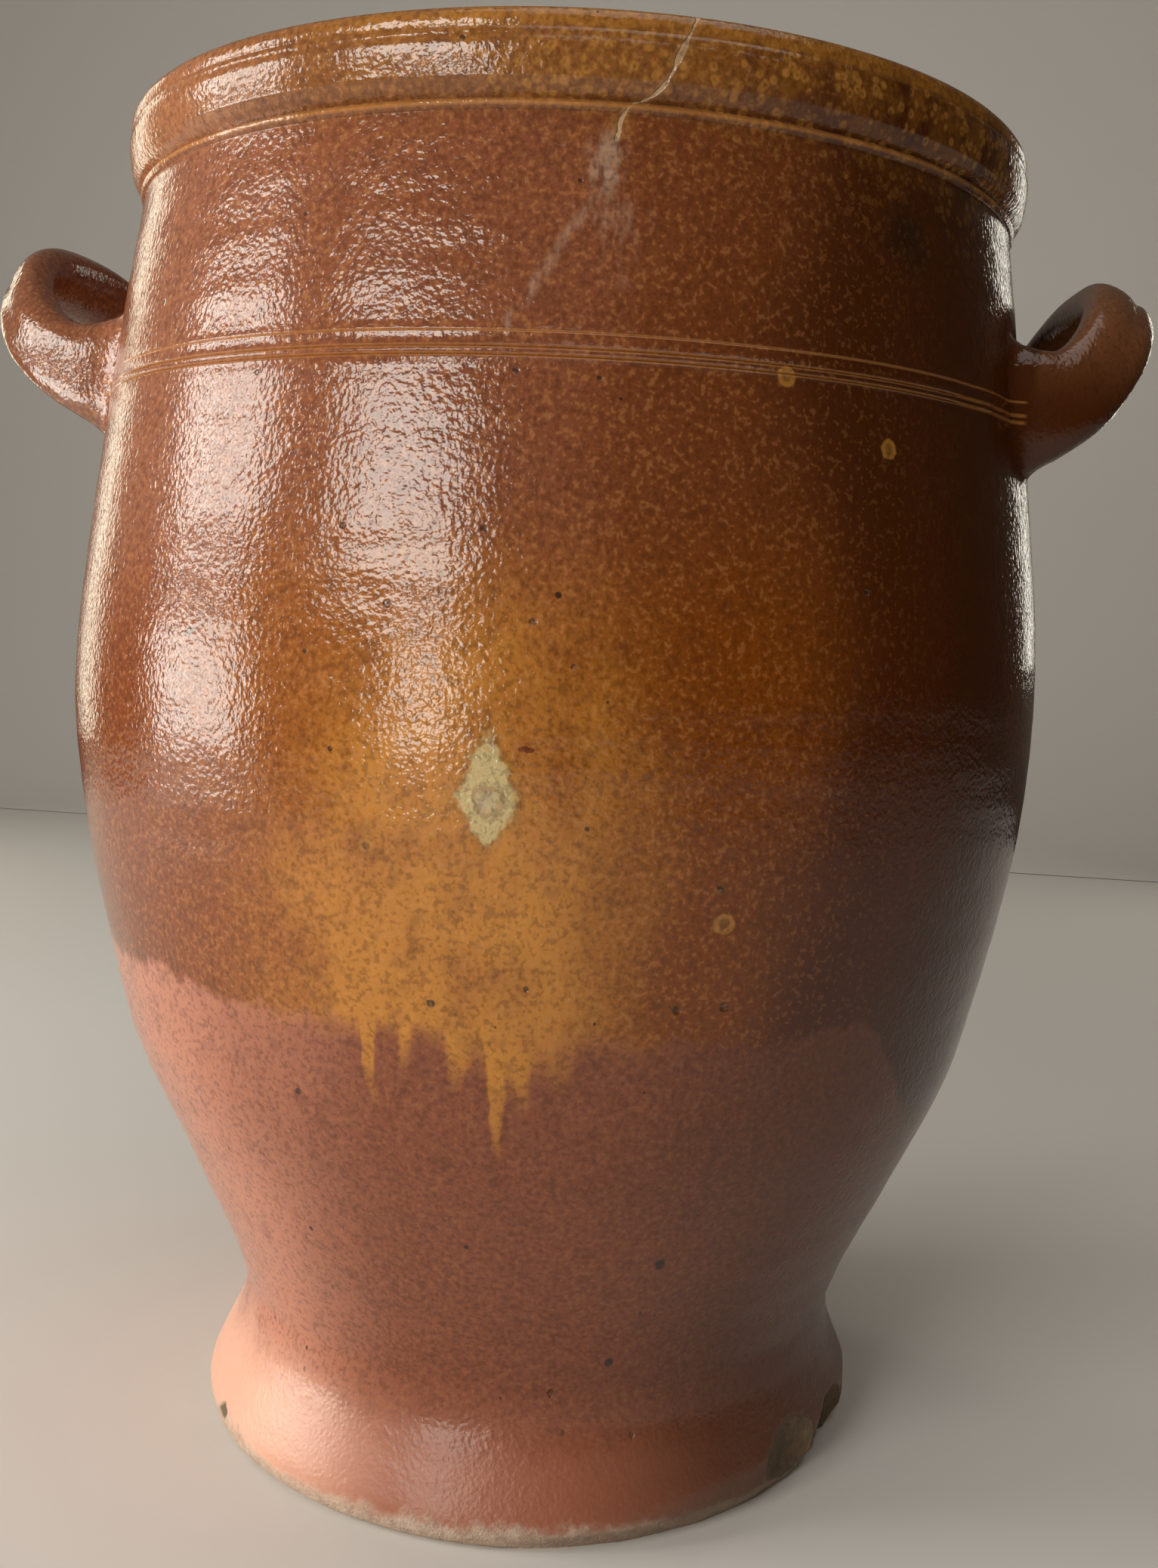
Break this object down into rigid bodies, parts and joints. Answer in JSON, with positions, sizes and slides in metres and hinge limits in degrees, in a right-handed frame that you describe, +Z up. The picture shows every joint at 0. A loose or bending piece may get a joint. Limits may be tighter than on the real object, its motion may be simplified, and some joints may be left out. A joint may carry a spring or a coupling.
{
  "type": "confit pot",
  "caption": "Tall round-bellied salt-glazed stoneware pot with a flared foot, a rolled rim and a strap loop handle on each shoulder, for keeping meat and fat.",
  "frame": {"origin": "middle of the flat underside of the foot, on the turned axis", "axes": "+Z up along the turned axis, -Y the front that is seen, +X towards the right handle; both handles are set back behind the X axis"},
  "size_m": [0.516, 0.425, 0.56],
  "materials": {
    "stoneware": null
  },
  "bodies": {
    "root": {"pot": "stoneware"}
  },
  "joints": []
}
